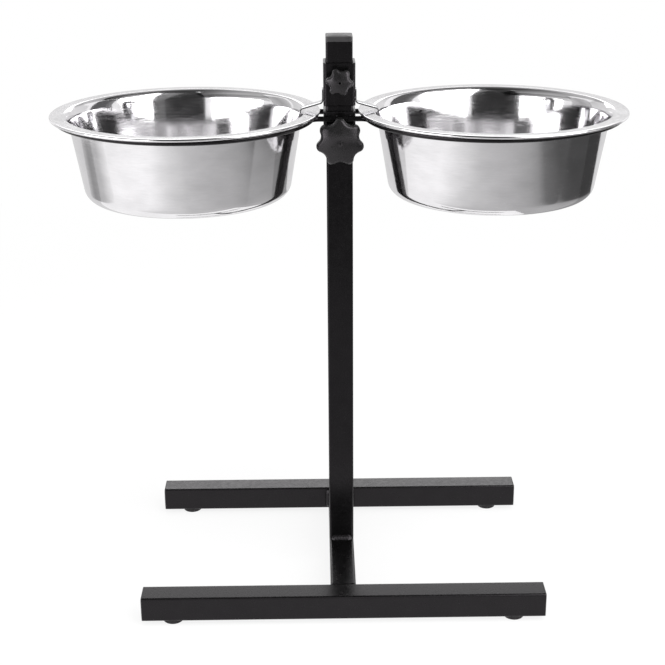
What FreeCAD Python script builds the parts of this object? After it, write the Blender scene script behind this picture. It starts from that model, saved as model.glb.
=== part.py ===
import FreeCAD, Part
import math
import os

# Adjustable double bowl stand: an H-shaped tube base with a post, two sleeves that slide on the
# post, two wire rings that carry steel bowls, and two sheet clips that hold the bowls down.
# Lengths are in millimetres and angles in degrees. +Z is up, +X runs along the crossbars, and the
# knobs face -Y. The origin is on the floor, under the middle of the post.

# Square steel tube of the base and the post
tube_side = 25.0
tube_wall = 1.5
tube_bend_inside = 0.5

# Base frame
base_length = 396.0
bar_spacing = 235.0
post_length = 514.0
base_weld_leg = 4.0

# Plastic plugs in the open tube ends
bar_cap_flange = 0.8
post_cap_flange = 4.8
cap_crown = 1.2
cap_crown_inset = 4.0
plug_depth = 12.0
plug_wall = 1.6
plug_corner = 1.0
plug_fit = 0.1

# Feet and the screws that hold them
foot_height = 5.0
foot_diameter = 20.0
foot_edge_round = 1.2
foot_inset = 31.0
screw_diameter = 4.0
screw_grip = 6.0
screw_head_diameter = 8.0
screw_head_height = 2.2
screw_head_sink = 0.4
screw_fit = 0.1
screw_slot_width = 1.0
screw_slot_depth = 1.0

# Sleeves on the post
sleeve_wall = 2.0
sleeve_slack = 0.5
sleeve_bend_inside = 1.0
sleeve_height = 40.0
sleeve_gap = 5.0
post_above_sleeves = 19.0

# Bowls
rim_diameter = 254.0
flange_width = 12.0
bead_diameter = 2.6
bowl_sheet = 0.8
bowl_depth = 81.0
bowl_slope = 9.6
bowl_corner = 12.0
lip_round = 4.0
lip_turn = 45.0
mouth_round = 14.0
rim_post_gap = 3.0
seat_gap = 0.3

# Wire rings
rod_diameter = 5.0
rod_drop = 6.5
rod_standoff = 0.1
rod_end_gap = 0.3
ring_bend = 8.0
ring_wall_gap = 3.0
ring_weld_start = 2.0
ring_weld_length = 9.0
ring_weld_reach_share = 0.95
ring_weld_root_share = 0.45

# Sheet clips
clip_sheet = 1.2
clip_width = 12.0
clip_bend = 2.5
clip_slope = 16.0
strap_height = 13.0
hook_length = 9.5
hook_gap = 0.8
clip_gap = 2.5

# Clamp screw of the ring sleeve
height_knob_rise = 15.5
height_knob_diameter = 45.0
height_knob_lobes = 7
height_knob_turn = 90.0
height_lobe_round = 5.0
height_scallop_round = 8.0
height_head = 13.0
height_head_crown = 3.6
height_hub_diameter = 19.0
height_hub = 8.0
height_dimple = 1.6
height_stud_diameter = 8.0
height_nut_width = 13.0
height_nut = 6.5

# Clamp screw of the clip sleeve
clip_knob_rise = 25.0
clip_knob_diameter = 27.0
clip_knob_lobes = 6
clip_knob_turn = 112.0
clip_lobe_round = 3.2
clip_scallop_round = 5.0
clip_head = 9.0
clip_head_crown = 2.2
clip_hub_diameter = 13.0
clip_hub = 6.0
clip_dimple = 2.4
clip_stud_diameter = 6.0
clip_nut_width = 10.0
clip_nut = 5.0

# Shared by both clamp screws
knob_gap = 1.5
knob_edge_round = 1.2
stud_fit = 0.05
stud_hole_clearance = 0.3
stud_tip_gap = 0.2
stud_tip_bevel = 1.0
stud_in_head_share = 0.5

# Length by which a cutting shape runs past what it cuts
overrun = 1.0

# Places that follow from the sizes above
Vector = FreeCAD.Vector
centre = Vector(0, 0, 0)
along_x = Vector(1, 0, 0)
along_y = Vector(0, 1, 0)
along_z = Vector(0, 0, 1)
full_turn = 360.0
quarter_turn = 90.0
nut_sides = 6
tube_corner = tube_bend_inside + tube_wall
bar_height = foot_height + tube_side / 2
base_top = foot_height + tube_side
post_top = base_top + post_length
sleeve_half = tube_side / 2 + sleeve_slack + sleeve_wall
clip_sleeve_rest = post_top - post_above_sleeves - sleeve_height
ring_sleeve_rest = clip_sleeve_rest - sleeve_gap - sleeve_height
rim_radius = rim_diameter / 2
bead_radius = bead_diameter / 2
mouth_radius = rim_radius - flange_width
# The mouth is a small arc beside the flat of the rim, which runs into a wide arc above the wall.
mouth_reach = mouth_radius + (mouth_round - lip_round) * math.sin(math.radians(lip_turn))
mouth_drop = lip_round + (mouth_round - lip_round) * math.cos(math.radians(lip_turn))
bowl_offset = sleeve_half + rim_post_gap + rim_radius
rod_radius = rod_diameter / 2
rod_reach = sleeve_half + rod_standoff + rod_radius
rod_height = ring_sleeve_rest + sleeve_height - rod_drop
ring_radius = mouth_radius + ring_wall_gap + rod_radius

# Each ring rises a little outwards: the rods pass under the bead beside the post, and at the far
# side the ring reaches the flat of the rim, so the bowl sits level on both.
near_reach = bowl_offset - math.sqrt((rim_radius - bead_diameter) ** 2 - (rod_reach + rod_radius) ** 2)
far_reach = bowl_offset + ring_radius
ring_rise = math.degrees(math.atan((bead_diameter - bowl_sheet) / (far_reach - near_reach)))
ring_rise_ratio = math.tan(math.radians(ring_rise))
rod_half_height = rod_radius / math.cos(math.radians(ring_rise))
rim_height = rod_height + far_reach * ring_rise_ratio + rod_half_height + bowl_sheet + seat_gap


def line(start, end):
    """A straight edge between two points."""
    return Part.makeLine(start, end)


def arc(start, middle, end):
    """A round edge through three points."""
    return Part.Arc(start, middle, end).toShape()


def polar(radius, angle):
    """A point of the XY plane at a radius and an angle about the Z axis."""
    turn = math.radians(angle)
    return Vector(radius * math.cos(turn), radius * math.sin(turn), 0)


def rounded_square(side, corner, height):
    """A square outline with round corners, about the Z axis."""
    flat = side / 2 - corner
    edges = []
    for quarter in range(4):
        spin = FreeCAD.Rotation(along_z, quarter * quarter_turn)
        first = spin.multVec(Vector(side / 2, -flat, height))
        last = spin.multVec(Vector(side / 2, flat, height))
        bend_end = spin.multVec(Vector(flat, side / 2, height))
        bend_middle = spin.multVec(Vector(flat, flat, height) + polar(corner, quarter_turn / 2))
        edges.append(line(first, last))
        edges.append(arc(last, bend_middle, bend_end))
    return Part.Wire(edges)


def square_prism(side, corner, bottom, length):
    """A square bar with round corners, standing along Z."""
    return Part.Face(rounded_square(side, corner, bottom)).extrude(along_z * length)


def square_tube(side, wall, bend_inside, bottom, length):
    """A square tube with round corners, standing along Z."""
    outside = square_prism(side, bend_inside + wall, bottom, length)
    inside = square_prism(side - 2 * wall, bend_inside, bottom - overrun, length + 2 * overrun)
    return outside.cut(inside)


def cylinder(diameter, bottom, length):
    """A round bar about the Z axis."""
    return Part.makeCylinder(diameter / 2, length, Vector(0, 0, bottom), along_z)


def revolved(edges):
    """A solid turned about the Z axis from a closed outline in the XZ plane."""
    return Part.Face(Part.Wire(edges)).revolve(centre, along_z, full_turn)


def mirrored(shape):
    """The same piece on the other side of the post."""
    return shape.mirror(centre, along_x)


def foot_places():
    """The names and middles of the four feet."""
    places = []
    for depth_name, depth in (("front", -bar_spacing / 2), ("rear", bar_spacing / 2)):
        for side_name, side in (("left", -1), ("right", 1)):
            across = side * (base_length / 2 - foot_inset)
            places.append((depth_name + "_" + side_name, Vector(across, depth, 0)))
    return places


def crossbar(depth):
    """One crossbar of the base, with holes for the screws of its two feet."""
    length = base_length - 2 * (bar_cap_flange + cap_crown)
    bar = square_tube(tube_side, tube_wall, tube_bend_inside, -length / 2, length)
    bar.rotate(centre, along_y, quarter_turn)
    bar.translate(Vector(0, depth, bar_height))
    hole_diameter = screw_diameter + 2 * screw_fit
    for name, place in foot_places():
        if place.y == depth:
            hole = cylinder(hole_diameter, foot_height - overrun, tube_wall + 2 * overrun)
            hole.translate(place)
            bar = bar.cut(hole)
    return bar


def centre_spar():
    """The tube that joins the two crossbars."""
    length = bar_spacing - tube_side
    spar = square_tube(tube_side, tube_wall, tube_bend_inside, -length / 2, length)
    spar.rotate(centre, along_x, quarter_turn)
    spar.translate(Vector(0, 0, bar_height))
    return spar


def fillet_weld(length):
    """A three-sided weld bead along Z, in the corner of the planes X = 0 and Y = 0."""
    corners = [centre, along_x * base_weld_leg, along_y * base_weld_leg, centre]
    bead = Part.Face(Part.makePolygon(corners)).extrude(along_z * length)
    bead.translate(Vector(0, 0, -length / 2))
    return bead


def base_welds():
    """Beads beside the spar's ends, and across the front and back of the post's foot."""
    flat = tube_side - 2 * tube_corner
    beads = []
    for quarter in range(4):
        upright = fillet_weld(flat)
        upright.rotate(centre, along_z, quarter * quarter_turn)
        across = tube_side / 2 * (1 if quarter in (0, 3) else -1)
        depth = (bar_spacing - tube_side) / 2 * (-1 if quarter in (0, 1) else 1)
        upright.translate(Vector(across, depth, bar_height))
        beads.append(upright)
    for turn, depth in ((0, tube_side / 2), (full_turn / 2, -tube_side / 2)):
        level = fillet_weld(flat)
        level.rotate(centre, along_y, -quarter_turn)
        level.rotate(centre, along_z, turn)
        level.translate(Vector(0, depth, base_top))
        beads.append(level)
    return Part.makeCompound(beads)


def tube_cap(flange):
    """A crowned plug for a tube end at Z = 0: its hollow stem points down into the tube."""
    plate = square_prism(tube_side, tube_corner, 0, flange)
    edge = rounded_square(tube_side, tube_corner, flange)
    top = rounded_square(tube_side - 2 * cap_crown_inset, tube_corner, flange + cap_crown)
    crown = Part.makeLoft([edge, top], True, True)
    stem_side = tube_side - 2 * tube_wall - 2 * plug_fit
    stem = square_prism(stem_side, plug_corner + plug_wall, -plug_depth, plug_depth)
    hollow_side = stem_side - 2 * plug_wall
    hollow = square_prism(hollow_side, plug_corner, -plug_depth - overrun, plug_depth + overrun)
    return plate.fuse([crown, stem.cut(hollow)]).removeSplitter()


def bar_cap(side, depth):
    """The plug in one end of a crossbar."""
    cap = tube_cap(bar_cap_flange)
    cap.rotate(centre, along_y, side * quarter_turn)
    cap.translate(Vector(side * (base_length / 2 - bar_cap_flange - cap_crown), depth, bar_height))
    return cap


def post_cap():
    """The plug in the top of the post."""
    cap = tube_cap(post_cap_flange)
    cap.translate(Vector(0, 0, post_top))
    return cap


def foot(place):
    """A round foot with a rounded lower edge and a sunk place for its screw."""
    outer = foot_diameter / 2
    bore = screw_diameter / 2 + screw_fit
    sink = screw_head_diameter / 2 + screw_fit
    ledge = screw_head_sink + screw_head_height
    bend = Vector(outer - foot_edge_round, 0, foot_edge_round)
    upright = FreeCAD.Rotation(along_x, quarter_turn)
    bend_middle = bend + upright.multVec(polar(foot_edge_round, -quarter_turn / 2))
    corners = [Vector(outer, 0, foot_edge_round), Vector(outer, 0, foot_height), Vector(bore, 0, foot_height),
               Vector(bore, 0, ledge), Vector(sink, 0, ledge), Vector(sink, 0, 0),
               Vector(outer - foot_edge_round, 0, 0)]
    edges = [line(first, last) for first, last in zip(corners, corners[1:])]
    edges.append(arc(corners[-1], bend_middle, corners[0]))
    pad = revolved(edges)
    pad.translate(place)
    return pad


def foot_screw(place):
    """A slotted pan-head screw that goes up through a foot into its crossbar."""
    head = cylinder(screw_head_diameter, screw_head_sink, screw_head_height)
    shank_bottom = screw_head_sink + screw_head_height
    shank_top = foot_height + tube_wall + screw_grip
    shank = cylinder(screw_diameter, shank_bottom, shank_top - shank_bottom)
    slot_length = screw_head_diameter + 2 * overrun
    slot = Part.makeBox(slot_length, screw_slot_width, screw_slot_depth + overrun)
    slot.translate(Vector(-slot_length / 2, -screw_slot_width / 2, screw_head_sink - overrun))
    screw = head.fuse(shank).removeSplitter().cut(slot)
    screw.translate(place)
    return screw


def facing_front(shape, height):
    """Turn a piece made along +Z to face -Y, and set it on the front of a sleeve."""
    shape.rotate(centre, along_x, quarter_turn)
    shape.translate(Vector(0, -sleeve_half, height))
    return shape


def sleeve(bottom, stud_diameter, stud_height):
    """A square sleeve round the post, with a hole in its front wall for the clamp screw."""
    body = square_tube(2 * sleeve_half, sleeve_wall, sleeve_bend_inside, bottom, sleeve_height)
    hole_diameter = stud_diameter + 2 * stud_hole_clearance
    hole = cylinder(hole_diameter, -sleeve_wall - overrun, sleeve_wall + 2 * overrun)
    return body.cut(facing_front(hole, stud_height))


def weld_nut(width, thickness, stud_diameter, stud_height):
    """A hexagon nut on the front of a sleeve."""
    side_turn = full_turn / nut_sides
    corner_radius = width / 2 / math.cos(math.radians(side_turn / 2))
    corners = [polar(corner_radius, side_turn * corner) for corner in range(nut_sides + 1)]
    block = Part.Face(Part.makePolygon(corners)).extrude(along_z * thickness)
    hole = cylinder(stud_diameter + 2 * stud_fit, -overrun, thickness + 2 * overrun)
    return facing_front(block.cut(hole), stud_height)


def star_outline(diameter, lobes, lobe_round, scallop_round, turn):
    """A closed outline of round lobes and round scallops that run smoothly into each other."""
    half_step = full_turn / lobes / 2
    lobe_centre = diameter / 2 - lobe_round
    side_step = lobe_centre * math.sin(math.radians(half_step))
    scallop_centre = lobe_centre * math.cos(math.radians(half_step))
    scallop_centre += math.sqrt((lobe_round + scallop_round) ** 2 - side_step ** 2)
    lobe_share = lobe_round / (lobe_round + scallop_round)

    def joint(lobe, scallop_angle):
        lobe_middle = polar(lobe_centre, lobe)
        scallop_middle = polar(scallop_centre, scallop_angle)
        return lobe_middle + (scallop_middle - lobe_middle) * lobe_share

    edges = []
    for step in range(lobes):
        lobe = turn + 2 * half_step * step
        valley = lobe + half_step
        tip = polar(diameter / 2, lobe)
        dip = polar(scallop_centre - scallop_round, valley)
        edges.append(arc(joint(lobe, lobe - half_step), tip, joint(lobe, valley)))
        edges.append(arc(joint(lobe, valley), dip, joint(valley + half_step, valley)))
    return Part.Wire(edges)


def star_knob(outline, diameter, head, crown, hub_diameter, hub, hub_bottom, stud_diameter, dimple):
    """A lobed knob with a crowned face, a hub behind it and a blind bore for its stud."""
    head_bottom = hub_bottom + hub
    front = head_bottom + head
    block = Part.Face(outline).extrude(along_z * head)
    block.translate(Vector(0, 0, head_bottom))
    crown_radius = ((diameter / 2) ** 2 + crown ** 2) / (2 * crown)
    ball = Part.makeSphere(crown_radius, Vector(0, 0, front - crown_radius))
    block = block.common(ball)
    crowned_face = [face for face in block.Faces if isinstance(face.Surface, Part.Sphere)][0]
    block = block.makeFillet(knob_edge_round, crowned_face.Edges)
    knob = block.fuse(cylinder(hub_diameter, hub_bottom, hub)).removeSplitter()
    bore_depth = hub + head * stud_in_head_share
    bore = cylinder(stud_diameter + 2 * stud_fit, hub_bottom - overrun, bore_depth + overrun)
    pit = Part.makeCone(0, dimple, dimple, Vector(0, 0, front - dimple / 2), along_z)
    return knob.cut(bore).cut(pit)


def clamp_stud(diameter, hub_bottom, hub, head):
    """The plain screw shank of a knob, from near the end of its bore to just off the post."""
    tip = -sleeve_wall - sleeve_slack + stud_tip_gap
    end = hub_bottom + hub + head * stud_in_head_share - stud_tip_gap
    shank = cylinder(diameter, tip + stud_tip_bevel, end - tip - stud_tip_bevel)
    tip_radius = diameter / 2 - stud_tip_bevel
    point = Part.makeCone(tip_radius, diameter / 2, stud_tip_bevel, Vector(0, 0, tip), along_z)
    return shank.fuse(point).removeSplitter()


def right_ring():
    """One wire ring: two straight ends beside the post, two bends and a round loop."""
    bend_x = bowl_offset - math.sqrt((ring_radius + ring_bend) ** 2 - (rod_reach + ring_bend) ** 2)
    loop_middle = Vector(bowl_offset, 0, 0)
    far_point = Vector(bowl_offset + ring_radius, 0, 0)
    sides = []
    for side in (-1, 1):
        start = Vector(rod_end_gap, side * rod_reach, 0)
        bend_start = Vector(bend_x, side * rod_reach, 0)
        bend_centre = Vector(bend_x, side * (rod_reach + ring_bend), 0)
        outward = (bend_centre - loop_middle).normalize()
        bend_end = loop_middle + outward * ring_radius
        bend_way = (bend_start - bend_centre) + (bend_end - bend_centre)
        bend_middle = bend_centre + bend_way.normalize() * ring_bend
        loop_way = (bend_end - loop_middle) + (far_point - loop_middle)
        loop_side = loop_middle + loop_way.normalize() * ring_radius
        sides.append((line(start, bend_start), arc(bend_start, bend_middle, bend_end),
                      arc(bend_end, loop_side, far_point)))
    path = Part.Wire(list(sides[0]) + list(reversed(sides[1])))
    end_circle = Part.Circle(Vector(rod_end_gap, -rod_reach, 0), along_x, rod_radius).toShape()
    return path.makePipeShell([Part.Wire(end_circle)], True, False)


def on_ring_plane(shape):
    """Set a piece of the right ring on its slightly rising plane."""
    shape.rotate(centre, along_y, -ring_rise)
    shape.translate(Vector(0, 0, rod_height))
    return shape


def right_ring_welds():
    """Beads above and below the ring's two straight ends, where they lie on the sleeve."""
    beads = []
    root = rod_radius * ring_weld_root_share
    reach = rod_radius * ring_weld_reach_share
    for side in (-1, 1):
        rod_start = Vector(ring_weld_start, side * rod_reach, 0)
        rod = Part.makeCylinder(rod_radius, ring_weld_length, rod_start, along_x)
        for up in (-1, 1):
            corners = [Vector(ring_weld_start, side * sleeve_half, up * root),
                       Vector(ring_weld_start, side * sleeve_half, up * (rod_radius + root)),
                       Vector(ring_weld_start, side * (sleeve_half + reach), up * reach),
                       Vector(ring_weld_start, side * sleeve_half, up * root)]
            bead = Part.Face(Part.makePolygon(corners)).extrude(along_x * ring_weld_length)
            beads.append(on_ring_plane(bead.cut(rod)))
    return beads


def shifted(points, distance):
    """The corners of a parallel line, to the left of a line in the XZ plane."""
    ways = [(last - first).normalize() for first, last in zip(points, points[1:])]
    sides = [Vector(-way.z, 0, way.x) for way in ways]
    moved = [points[0] + sides[0] * distance]
    for corner, before, after in zip(points[1:-1], sides, sides[1:]):
        both = before + after
        moved.append(corner + both * (distance * 2 / both.dot(both)))
    moved.append(points[-1] + sides[-1] * distance)
    return moved


def bent_path(points, bends):
    """The edges of a line with round bends at its inner corners."""
    edges = []
    start = points[0]
    for before, corner, after, bend in zip(points, points[1:], points[2:], bends):
        back = (before - corner).normalize()
        ahead = (after - corner).normalize()
        half_angle = back.getAngle(ahead) / 2
        bend_start = corner + back * (bend / math.tan(half_angle))
        bend_end = corner + ahead * (bend / math.tan(half_angle))
        inward = (back + ahead).normalize()
        bend_middle = corner + inward * (bend / math.sin(half_angle) - bend)
        edges.append(line(start, bend_start))
        edges.append(arc(bend_start, bend_middle, bend_end))
        start = bend_end
    edges.append(line(start, points[-1]))
    return edges


def right_clip():
    """A bent strip: a strap on the sleeve's side, an arm over the rim and a hook inside the bowl."""
    wall_way = math.radians(bowl_slope)
    arm_way = math.radians(clip_slope)
    fall = math.tan(arm_way)
    flat_end = bowl_offset - mouth_radius
    wall_x = bowl_offset - mouth_reach + (mouth_round + hook_gap) * math.cos(wall_way)
    wall_z = rim_height - mouth_drop + (mouth_round + hook_gap) * math.sin(wall_way)
    arm_over_mouth = rim_height - lip_round + (lip_round + clip_gap) / math.cos(arm_way)
    arm_z = arm_over_mouth - (wall_x - flat_end) * fall
    climb = (arm_z - wall_z) / (math.cos(wall_way) - math.sin(wall_way) * fall)
    hook_top = Vector(wall_x - climb * math.sin(wall_way), 0, wall_z + climb * math.cos(wall_way))
    hook_tip = hook_top + Vector(math.sin(wall_way), 0, -math.cos(wall_way)) * hook_length
    strap_foot = Vector(sleeve_half, 0, hook_top.z + (hook_top.x - sleeve_half) * fall)
    strap_top = strap_foot + along_z * strap_height
    path = bent_path([strap_top, strap_foot, hook_top, hook_tip], [clip_bend + clip_sheet, clip_bend])
    far_path = bent_path(shifted([strap_top, strap_foot, hook_top, hook_tip], clip_sheet),
                         [clip_bend, clip_bend + clip_sheet])
    ends = [line(path[0].firstVertex(True).Point, far_path[0].firstVertex(True).Point),
            line(path[-1].lastVertex(True).Point, far_path[-1].lastVertex(True).Point)]
    section = Part.Face(Part.Wire(Part.__sortEdges__(path + far_path + ends)))
    section.translate(Vector(0, -clip_width / 2, 0))
    return section.extrude(along_y * clip_width)


def tilted(angle):
    """A direction in the bowl's profile, turned from upright towards the bowl's middle."""
    turn = math.radians(angle)
    return Vector(-math.sin(turn), 0, math.cos(turn))


def bowl(side):
    """A pressed bowl: flat bottom, sloping wall, flat rim and a rolled bead at its edge."""
    slope = math.radians(bowl_slope)
    floor = bowl_sheet - bowl_depth
    inward = Vector(-math.cos(slope), 0, math.sin(slope))
    lip_centre = Vector(mouth_radius, 0, -lip_round)
    mouth_centre = Vector(mouth_reach, 0, -mouth_drop)
    corner_height = floor + bowl_corner
    spread = (corner_height + mouth_drop) * math.sin(slope) - mouth_round - bowl_corner
    corner_centre = Vector(mouth_reach + spread / math.cos(slope), 0, corner_height)
    corner_way = tilted((quarter_turn - bowl_slope) / 2) * -1
    mouth_way = tilted((lip_turn + quarter_turn - bowl_slope) / 2)
    meet_way = tilted(lip_turn)
    lip_way = tilted(lip_turn / 2)
    bead_centre = Vector(rim_radius - bead_radius, 0, -bead_radius)
    bead_step = bead_radius - bowl_sheet
    bead_inner = bead_centre + Vector(-math.sqrt(bead_radius ** 2 - bead_step ** 2), 0, bead_step)

    def skin(offset):
        """The line of one face of the sheet, from the bottom's middle to the flat of the rim."""
        corner = bowl_corner + offset
        mouth = mouth_round - offset
        lip = lip_round - offset
        middle = Vector(0, 0, floor - offset)
        bottom_edge = Vector(corner_centre.x, 0, floor - offset)
        wall_foot = corner_centre - inward * corner
        wall_head = mouth_centre + inward * mouth
        lip_foot = lip_centre + meet_way * lip
        rim_inner = Vector(mouth_radius, 0, -offset)
        return [line(middle, bottom_edge), arc(bottom_edge, corner_centre + corner_way * corner, wall_foot),
                line(wall_foot, wall_head), arc(wall_head, mouth_centre + mouth_way * mouth, lip_foot),
                arc(lip_foot, lip_centre + lip_way * lip, rim_inner)]

    rim_edge = Vector(bead_centre.x, 0, 0)
    bead_bottom = bead_centre - along_z * bead_radius
    bead_back = bead_centre - along_x * bead_radius
    edges = skin(0) + skin(bowl_sheet)
    edges.append(line(Vector(mouth_radius, 0, 0), rim_edge))
    edges.append(arc(rim_edge, bead_centre + along_x * bead_radius, bead_bottom))
    edges.append(arc(bead_bottom, bead_back, bead_inner))
    edges.append(line(bead_inner, Vector(mouth_radius, 0, -bowl_sheet)))
    edges.append(line(Vector(0, 0, floor), Vector(0, 0, -bowl_depth)))
    body = revolved(Part.__sortEdges__(edges))
    body.translate(Vector(side * bowl_offset, 0, rim_height))
    return body


def stand():
    """Every piece of the stand by its name."""
    front = -bar_spacing / 2
    rear = bar_spacing / 2
    pieces = {}
    pieces["front_crossbar"] = crossbar(front)
    pieces["rear_crossbar"] = crossbar(rear)
    pieces["centre_spar"] = centre_spar()
    pieces["post"] = square_tube(tube_side, tube_wall, tube_bend_inside, base_top, post_length)
    pieces["base_welds"] = base_welds()
    for depth_name, depth in (("front", front), ("rear", rear)):
        for side_name, side in (("left", -1), ("right", 1)):
            pieces[depth_name + "_" + side_name + "_end_cap"] = bar_cap(side, depth)
    pieces["post_cap"] = post_cap()
    for name, place in foot_places():
        pieces[name + "_foot"] = foot(place)
    pieces["foot_screws"] = Part.makeCompound([foot_screw(place) for name, place in foot_places()])

    stud_height = ring_sleeve_rest + height_knob_rise
    hub_bottom = height_nut + knob_gap
    pieces["ring_sleeve"] = sleeve(ring_sleeve_rest, height_stud_diameter, stud_height)
    pieces["ring_sleeve_nut"] = weld_nut(height_nut_width, height_nut, height_stud_diameter, stud_height)
    outline = star_outline(height_knob_diameter, height_knob_lobes, height_lobe_round,
                           height_scallop_round, height_knob_turn)
    knob = star_knob(outline, height_knob_diameter, height_head, height_head_crown, height_hub_diameter,
                     height_hub, hub_bottom, height_stud_diameter, height_dimple)
    pieces["height_knob"] = facing_front(knob, stud_height)
    stud = clamp_stud(height_stud_diameter, hub_bottom, height_hub, height_head)
    pieces["height_knob_stud"] = facing_front(stud, stud_height)
    ring = on_ring_plane(right_ring())
    pieces["right_ring"] = ring
    pieces["left_ring"] = mirrored(ring)
    right_beads = right_ring_welds()
    left_beads = [mirrored(bead) for bead in right_beads]
    pieces["ring_welds"] = Part.makeCompound(right_beads + left_beads)

    stud_height = clip_sleeve_rest + clip_knob_rise
    hub_bottom = clip_nut + knob_gap
    pieces["clip_sleeve"] = sleeve(clip_sleeve_rest, clip_stud_diameter, stud_height)
    pieces["clip_sleeve_nut"] = weld_nut(clip_nut_width, clip_nut, clip_stud_diameter, stud_height)
    outline = star_outline(clip_knob_diameter, clip_knob_lobes, clip_lobe_round,
                           clip_scallop_round, clip_knob_turn)
    knob = star_knob(outline, clip_knob_diameter, clip_head, clip_head_crown, clip_hub_diameter,
                     clip_hub, hub_bottom, clip_stud_diameter, clip_dimple)
    pieces["clip_knob"] = facing_front(knob, stud_height)
    stud = clamp_stud(clip_stud_diameter, hub_bottom, clip_hub, clip_head)
    pieces["clip_knob_stud"] = facing_front(stud, stud_height)
    clip = right_clip()
    pieces["right_clip"] = clip
    pieces["left_clip"] = mirrored(clip)
    pieces["left_bowl"] = bowl(-1)
    pieces["right_bowl"] = bowl(1)
    return pieces


os.makedirs("parts", exist_ok=True)
for name, shape in stand().items():
    shape.exportStep("parts/" + name + ".step")
    print(name, len(shape.Solids), round(shape.Volume, 1), shape.isValid())
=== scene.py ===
# %% [markdown]
# Adjustable double bowl stand: a lesson in dressing a imported model.
# The real object is a feeding stand for a dog. Black coated square tubes make an H-shaped base and a
# post, two sleeves slide on the post, and wire rings carry two polished steel bowls.
# The imported model already holds every piece at its true place, so the lesson only builds finer meshes
# and finishes in that place. It keeps the imported model's pieces, hidden, and reads their boxes.

# %% Load the imported model
import math
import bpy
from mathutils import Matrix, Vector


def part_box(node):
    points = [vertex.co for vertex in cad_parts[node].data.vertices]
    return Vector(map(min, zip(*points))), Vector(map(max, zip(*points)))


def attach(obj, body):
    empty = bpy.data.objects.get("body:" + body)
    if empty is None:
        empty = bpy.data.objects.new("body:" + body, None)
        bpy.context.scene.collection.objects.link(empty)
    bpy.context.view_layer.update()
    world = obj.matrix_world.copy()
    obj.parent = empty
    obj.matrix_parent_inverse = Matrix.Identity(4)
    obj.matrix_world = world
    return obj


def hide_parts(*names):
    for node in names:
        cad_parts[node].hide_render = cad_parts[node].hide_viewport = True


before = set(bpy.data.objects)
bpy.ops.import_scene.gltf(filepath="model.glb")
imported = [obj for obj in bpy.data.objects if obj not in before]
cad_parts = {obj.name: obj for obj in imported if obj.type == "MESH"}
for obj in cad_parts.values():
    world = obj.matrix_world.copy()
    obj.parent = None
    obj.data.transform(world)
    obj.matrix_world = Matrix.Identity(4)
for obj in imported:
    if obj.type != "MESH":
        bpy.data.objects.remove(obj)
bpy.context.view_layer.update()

from types import SimpleNamespace

import bmesh
import bpy
from mathutils import Matrix, Vector

mm = 0.001
across = Vector((1, 0, 0))
inward = Vector((0, 1, 0))
upward = Vector((0, 0, 1))
scene = bpy.context.scene

# %% [markdown]
# A finish is a shader, and a shader is fed by a tree of nodes. Nodes can be joined by hand in Blender's
# editor. In a script the same few moves come again and again: add a node, set or link its inputs, and
# take its result. These helpers hold those moves, so that a finish reads as a list of what feeds what.

# %% Helpers that add and join nodes
def join(tree, value, socket):
    """Link a value to an input if it comes from a node, or set the input to it."""
    if isinstance(value, bpy.types.NodeSocket):
        tree.links.new(value, socket)
    else:
        socket.default_value = value


def feed(tree, node, **inputs):
    """Join values to the named inputs of a node."""
    for name, value in inputs.items():
        join(tree, value, node.inputs[name.replace("_", " ")])


def add_node(tree, kind, **inputs):
    """A new node with its inputs joined."""
    node = tree.nodes.new(kind)
    feed(tree, node, **inputs)
    return node


def calculate(tree, operation, *values, kind="ShaderNodeMath"):
    """The result of a maths node."""
    node = tree.nodes.new(kind)
    node.operation = operation
    for socket, value in zip(node.inputs, values):
        join(tree, value, socket)
    return node.outputs["Value"]


def own_place(tree):
    """The place of a point in the coordinates of its own piece."""
    return add_node(tree, "ShaderNodeTexCoord").outputs["Object"]


def new_finish(name):
    """A new material and its node tree."""
    material = bpy.data.materials.new(name)
    material.use_nodes = True
    return material, material.node_tree


def feed_shader(tree, **inputs):
    """Join values to the main shader of a finish."""
    feed(tree, tree.nodes["Principled BSDF"], **inputs)


# %% [markdown]
# The colour, gloss and fine relief of each finish come from noise, because no real coat is even.
# Image textures could do it, but they need UV maps and a file. Noise that reads the piece's own
# coordinates needs neither, and its grain keeps its real size in millimetres.
# The helpers below hold what all finishes share, so each finish only states its own numbers.

# %% Helpers that turn noise into a finish
noise_low = 0.3
noise_high = 0.7


def speckle(tree, place, grain, detail=2.0):
    """Soft noise whose lumps are about one grain across."""
    return add_node(tree, "ShaderNodeTexNoise", Vector=place, Scale=1 / grain, Detail=detail).outputs["Fac"]


def spread(tree, noise, low, high):
    """Stretch noise, which stays near its middle, to run from a low to a high value."""
    node = add_node(tree, "ShaderNodeMapRange", Value=noise, From_Min=noise_low, From_Max=noise_high,
                    To_Min=low, To_Max=high)
    return node.outputs["Result"]


def grey(level):
    """A neutral colour."""
    return (level, level, level, 1)


def mix_colours(tree, share, first, second):
    """A colour between two others."""
    node = add_node(tree, "ShaderNodeMix", Factor=share)
    node.data_type = "RGBA"
    feed(tree, node, A=first, B=second)
    return node.outputs["Result"]


def shade_between(tree, noise, dark, pale):
    """A colour that wanders between two tones."""
    return mix_colours(tree, spread(tree, noise, 0, 1), dark, pale)


def relief(tree, noise, strength, height):
    """Small bumps from noise, as the direction that the surface faces."""
    bump = add_node(tree, "ShaderNodeBump", Height=noise, Strength=strength, Distance=height)
    return bump.outputs["Normal"]


print("noise from", noise_low, "to", noise_high, "is stretched to the limits of a finish")

# %% [markdown]
# Powder coat is plastic dust that is baked on steel. It is smooth from afar, but it dries with a fine
# orange-peel relief about a millimetre across, which breaks up its reflections.
# A plain glossy black would look like lacquer, so the gloss wanders a little and the relief is a bump.
# The moulded plastic of knobs and plugs and the rubber of the feet are blacks of the same kind, paler
# and with a finer grain, so one function makes all four.

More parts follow.
